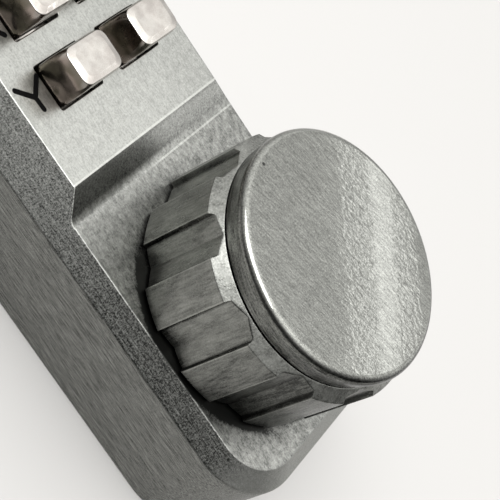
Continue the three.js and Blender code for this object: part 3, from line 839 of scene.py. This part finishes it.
def scalloped(graph, sockets):
    """Draws the blank in between the ribs, to a stepped hollow with a valley along its middle."""
    place = graph.node("GeometryNodeInputPosition")
    x, y, z = (axis(graph, place, name) for name in "XYZ")
    radius = (x * x + y * y) ** 0.5
    pitch = sockets["Pitch"]
    from_rib = off_rib(x, y, pitch, sockets["First Rib"])
    share = ((from_rib - sockets["Rib Half Angle"]) / (pitch / 2 - sockets["Rib Half Angle"])).most(0)
    hollow = sockets["Valley Radius"] + sockets["Hollow Rise"] * (1 - share)
    step = from_rib.smooth(sockets["Rib Half Angle"] - 0.15, sockets["Rib Half Angle"] + 0.4)
    outline = sockets["Rib Radius"] + step * (hollow - sockets["Rib Radius"])
    drawn = radius.math("SMOOTH_MIN", radius, outline, 0.14)
    factor = drawn / radius.most(0.001)
    shift = graph.node("ShaderNodeCombineXYZ", None, {"X": x * factor, "Y": y * factor, "Z": z})
    outside = radius.math("GREATER_THAN", radius, sockets["Valley Radius"] - 0.4)
    cut = graph.node("GeometryNodeSetPosition", None, {"Geometry": sockets["Base"], "Selection": outside,
                                                       "Position": shift})
    return graph.node("GeometryNodeTransform", None, {"Geometry": cut, "Translation": sockets["Place"]})


def knob_skin(graph, place):
    """Satin plate with a faint grain up the ribs and darker stains that follow it, a painted highlight along
    each rib's edge, and painted shade in the step beside it and toward the -Y end.
    """
    grain = mottle(graph, stretched(graph, place, (3.2, 3.2, 0.45)), 1, detail=4) - 0.5
    stain = mottle(graph, stretched(graph, place, (0.55, 0.55, 0.22)), 1, detail=4, roughness=0.65) - 0.5
    speckle = mottle(graph, place, 4.5, detail=4, roughness=0.7) - 0.5
    x, y = axis(graph, place, "X"), axis(graph, place, "Y") - CaseSize.knob_y
    from_rib = off_rib(x, y, 360 / KnobSize.ribs, KnobSize.first_rib)
    upright = facing_forward(graph).fade(0.2, 0.5)
    # painted shade in the step beside each rib's edge, and a painted highlight along the edge itself
    corner = from_rib.distance(KnobSize.rib_half + 0.45).fade(0.15, 0.75)
    painted_edge_highlight = from_rib.distance(KnobSize.rib_half - 0.35).fade(0.12, 0.50)
    # painted shade: the rib sides are painted darker toward the -Y end
    painted_low_end_shade = y.fade(-11, 3)
    tone = 0.62 + 0.80 * grain + 0.95 * stain + 1.0 * speckle
    tone = tone + upright * (0.32 * painted_edge_highlight - 0.28 * corner - 0.32 * painted_low_end_shade)
    return {"Base Color": shaded(graph, tone, 0.1, KNOB_ZINC), "Roughness": 0.29 + 0.30 * stain,
            "Normal": bump(graph, grain + speckle * 0.6, 0.016)}


KNOB_ZINC = (0.33, 0.335, 0.312)
knob_zinc = finish("knob_zinc", knob_skin, Metallic=1.0)
sizes = {"Pitch": 360 / KnobSize.ribs, "First Rib": KnobSize.first_rib, "Rib Half Angle": KnobSize.rib_half,
         "Rib Radius": KnobSize.rib, "Valley Radius": KnobSize.valley, "Hollow Rise": 0.87,
         "Place": (0.0, CaseSize.knob_y, 0.0)}
grip = grown("scalloped_grip", turned("blank", knob_section(), rib_angles()), knob_zinc, sizes, scalloped)
smooth_normals(grip, sharp_angle=28)
hang(grip, "knob", "knob_zinc", "knob_grip")


# ------------------------------------------------------------------ knob cap
# A spun disc with a short plug pressed into the knob closes its front. Its side flares a little,
# its edge carries a painted highlight, and the flat front keeps the faint ripple of thick plating.

def cap_skin(graph, place):
    """Plating rippled like orange peel in two bands, over a fine slanting grain, and one small pit, with a
    painted highlight round the rim and painted shade on the side toward the -Y end.
    """
    ripple = mottle(graph, stretched(graph, place, (1.5, 1.1, 1.5)), 1, detail=2, roughness=0.5) - 0.5
    broad = mottle(graph, place, 0.09, detail=2) - 0.5
    spun = graph.node("ShaderNodeVectorRotate", {"rotation_type": "Z_AXIS"},
                      {"Vector": place, "Angle": math.radians(-15)})
    grain = mottle(graph, stretched(graph, spun, (5.5, 0.7, 5.5)), 1, detail=4, roughness=0.7) - 0.5
    fine = mottle(graph, place, 4.2, detail=3, roughness=0.7) - 0.5
    hoop = mottle(graph, stretched(graph, place, (0.25, 0.25, 3.0)), 1, detail=3) - 0.5
    x, y = axis(graph, place, "X"), axis(graph, place, "Y") - CaseSize.knob_y
    off_centre = (x - y) / math.sqrt(2)
    peel = off_centre.distance(3.1).fade(1.8, 3.6) + off_centre.distance(12.6).fade(1.4, 3.0)
    facing = facing_forward(graph)
    side = facing.fade(0.3, 0.98)
    # painted highlight: a bright band painted round the rounded rim
    rim = facing.smooth(0.45, 0.75) - facing.smooth(0.90, 0.985)
    painted_low_end_shade = y.fade(-16, 0)
    tone = 0.56 + 1.2 * grain + 1.2 * fine + 0.16 * broad
    # the side band is darkened, and painted shade darkens it more toward the -Y end; the rim's painted
    # highlight turns to painted shade toward the -Y end
    tone = tone - side * (0.10 + 0.30 * painted_low_end_shade - 1.2 * hoop) + rim * (0.26 - 0.45 * painted_low_end_shade)
    tone = tone * (0.15 + 0.85 * gap(graph, place, CAP_PIT).smooth(0.15, 0.35))
    relief = bump(graph, grain + fine, 0.0010, bump(graph, ripple * (0.25 + 0.75 * peel), 0.034))
    roughness = 0.075 + 0.05 * broad + 0.20 * side
    return {"Base Color": shaded(graph, tone, 0.05, KNOB_ZINC), "Roughness": roughness, "Normal": relief}


def cap_section():
    top, flare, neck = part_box("knob_cap")[1].z / MM, 18.66, 18.12
    rim = rounded_path([(14.4, 34.2, 0), (neck, 34.2, 0.2), (flare, top, 1.25), (15, top, 0)], steps=12)
    return [(0, 31.3), (14.4, 31.3)] + [tuple(point) for point in rim] + [(0, top)]


def stood_at(thing, x, y):
    """Takes a mesh turned in millimetres about the origin to its place, in metres."""
    thing.data.transform(Matrix.Scale(MM, 4) @ Matrix.Translation((x, y, 0)))


CAP_PIT = (-4.0, CaseSize.knob_y + 16.6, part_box("knob_cap")[1].z / MM)
cap = turned("knob_front_cap", cap_section(), [2 * math.pi * i / 256 for i in range(256)])
stood_at(cap, 0, CaseSize.knob_y)
smooth_normals(cap, sharp_angle=40)
cap.data.materials.append(finish("cap_plating", cap_skin, Metallic=1.0))
hang(cap, "knob", "knob_zinc", "knob_cap")


# ------------------------------------------------------------------ back plate and screws
# A zinc-plated steel plate with rolled edges closes the back. Two socket screws hold it to posts in
# the casting, sunk below the face that lies on the door, and two more hold the code chamber.

def plated_skin(graph, place):
    """Rolled steel under bright zinc: a lengthwise roll mark and a faint blue and yellow bloom."""
    rolled = mottle(graph, stretched(graph, place, (3.5, 0.3, 3.5)), 1, detail=3)
    bloom = mottle(graph, place, 0.12, detail=2)
    colour = tint(graph, bloom.smooth(0.3, 0.7), (0.42, 0.43, 0.45), (0.50, 0.48, 0.42))
    return {"Base Color": colour, "Roughness": 0.27 + 0.24 * rolled, "Normal": bump(graph, rolled, 0.008)}


plated_steel = finish("plated_steel", plated_skin, Metallic=1.0)
plate_low, plate_high = (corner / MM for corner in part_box("back_plate"))
plate_corner = CaseSize.corner_radius - (CaseSize.half_width - plate_high.x)
edge_roll = 0.3
spindle_opening, boss_opening, screw_opening = 5.2, 3.8, 1.6        # radii of the holes
recess_radius, recess_depth = 3.0, 1.1
rolled_edge = [(edge_roll * (1 - math.sin(turn)), edge_roll * (1 - math.cos(turn)))
               for turn in (math.pi / 2 * i / 5 for i in range(6))]
plate_levels = [(plate_high.x - inset, plate_high.y - inset, plate_corner - inset, rise)
                for inset, rise in rolled_edge]
plate_levels += [(half_x, half_y, corner, plate_high.z - rise)
                 for half_x, half_y, corner, rise in reversed(plate_levels)]
plate = lofted("back_plate_pressing", (0, 0), plate_levels, steps=14)
through = (-1, plate_high.z + 1)
holes = [rod("hole", (0, CaseSize.knob_y), spindle_opening, *through)]
holes += [rod("hole", centre, boss_opening, *through) for centre in fixing_bosses]
recesses = [rod("recess", centre, recess_radius, -1, recess_depth) for centre in plate_posts]
screw_holes = [rod("hole", centre, screw_opening, *through) for centre in plate_posts]
for tools in (holes, recesses, screw_holes):
    carve(plate, joined("tools", tools))
smooth_normals(plate, sharp_angle=40)
plate.data.materials.append(plated_steel)
hang(plate, "case", "plated_steel", "back_plate")


def screw_section(head_radius, low, high, head_depth):
    """(radius, z) of a domed head and a rolled thread, from the head to the tip."""
    core, crest, pitch = 1.02, 1.25, 0.5
    head = rounded_path([(0, low, 0), (head_radius, low, 0.28), (head_radius, low + head_depth, 0.08),
                         (crest, low + head_depth, 0)], steps=4)
    thread = []
    z = low + head_depth + 0.6
    while z < high - pitch:
        thread += [(crest, z), (core, z + pitch / 2)]
        z += pitch
    return [tuple(point) for point in head] + thread + [(core, high - 0.25), (core - 0.25, high), (0, high)]


socket_radius, socket_depth = 1.35, 0.45
for name in ("back_plate_screw_1", "back_plate_screw_2", "chamber_screw_1", "chamber_screw_2"):
    low, high = (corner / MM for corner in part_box(name))
    centre = ((low.x + high.x) / 2, (low.y + high.y) / 2)
    section = screw_section((high.x - low.x) / 2 - 0.005, low.z, high.z, head_depth=0.65)
    screw = turned(name.replace("screw", "socket_screw"), section, [2 * math.pi * i / 32 for i in range(32)])
    stood_at(screw, *centre)
    carve(screw, rod("socket", centre, socket_radius, low.z - 1, low.z + socket_depth, sides=6))
    smooth_normals(screw, sharp_angle=35)
    screw.data.materials.append(plated_steel)
    hang(screw, "case", "plated_steel", name)


# ------------------------------------------------------------------ works inside
# Behind the front are a die-cast chamber with brass tumblers, the steel gate that the knob's cam
# lifts, the square spindle in its brass bush, and a rubber ring that keeps rain out of the bush.

def brass_skin(graph, place):
    """Sawn and tumbled brass, browned a little."""
    sawn = mottle(graph, stretched(graph, place, (6, 0.8, 6)), 1, detail=3)
    brown = mottle(graph, place, 0.5, detail=3)
    colour = tint(graph, brown, (0.50, 0.36, 0.14), (0.78, 0.60, 0.28))
    return {"Base Color": colour, "Roughness": 0.26 + 0.25 * sawn, "Normal": bump(graph, sawn, 0.006)}


def rubber_skin(graph, place):
    """Dull black rubber with a little talc left in its pores."""
    pores = mottle(graph, place, 3, detail=3)
    colour = tint(graph, pores, (0.010, 0.010, 0.010), (0.045, 0.045, 0.043))
    return {"Base Color": colour, "Roughness": 0.70 + 0.2 * pores, "Normal": bump(graph, pores, 0.02)}


bearing_brass = finish("bearing_brass", brass_skin, Metallic=1.0)
seal_rubber = finish("seal_rubber", rubber_skin)
BY_SLOT = {"satin_zinc": satin_zinc, "knob_zinc": knob_zinc, "polished_nickel": polished_nickel,
           "plated_steel": plated_steel, "spring_steel": spring_steel, "bearing_brass": bearing_brass,
           "seal_rubber": seal_rubber}


def soften(node, width_mm):
    """Breaks the edges of a part kept from the frame by modifiers, and leaves its own mesh as it is."""
    weld = node.modifiers.new("weld", "WELD")
    weld.merge_threshold = 0.002 * MM
    bevel = node.modifiers.new("edge_break", "BEVEL")
    bevel.width = width_mm * MM
    bevel.segments = 2
    bevel.limit_method = "ANGLE"
    bevel.angle_limit = math.radians(35)
    bevel.harden_normals = False


for part in frame["record"]["subparts"]:
    node = frame["nodes"][part["node"]]
    if not node.hide_render:
        node.data.materials.clear()
        node.data.materials.append(BY_SLOT[part["material_slot"]])
        soften(node, 0.08)
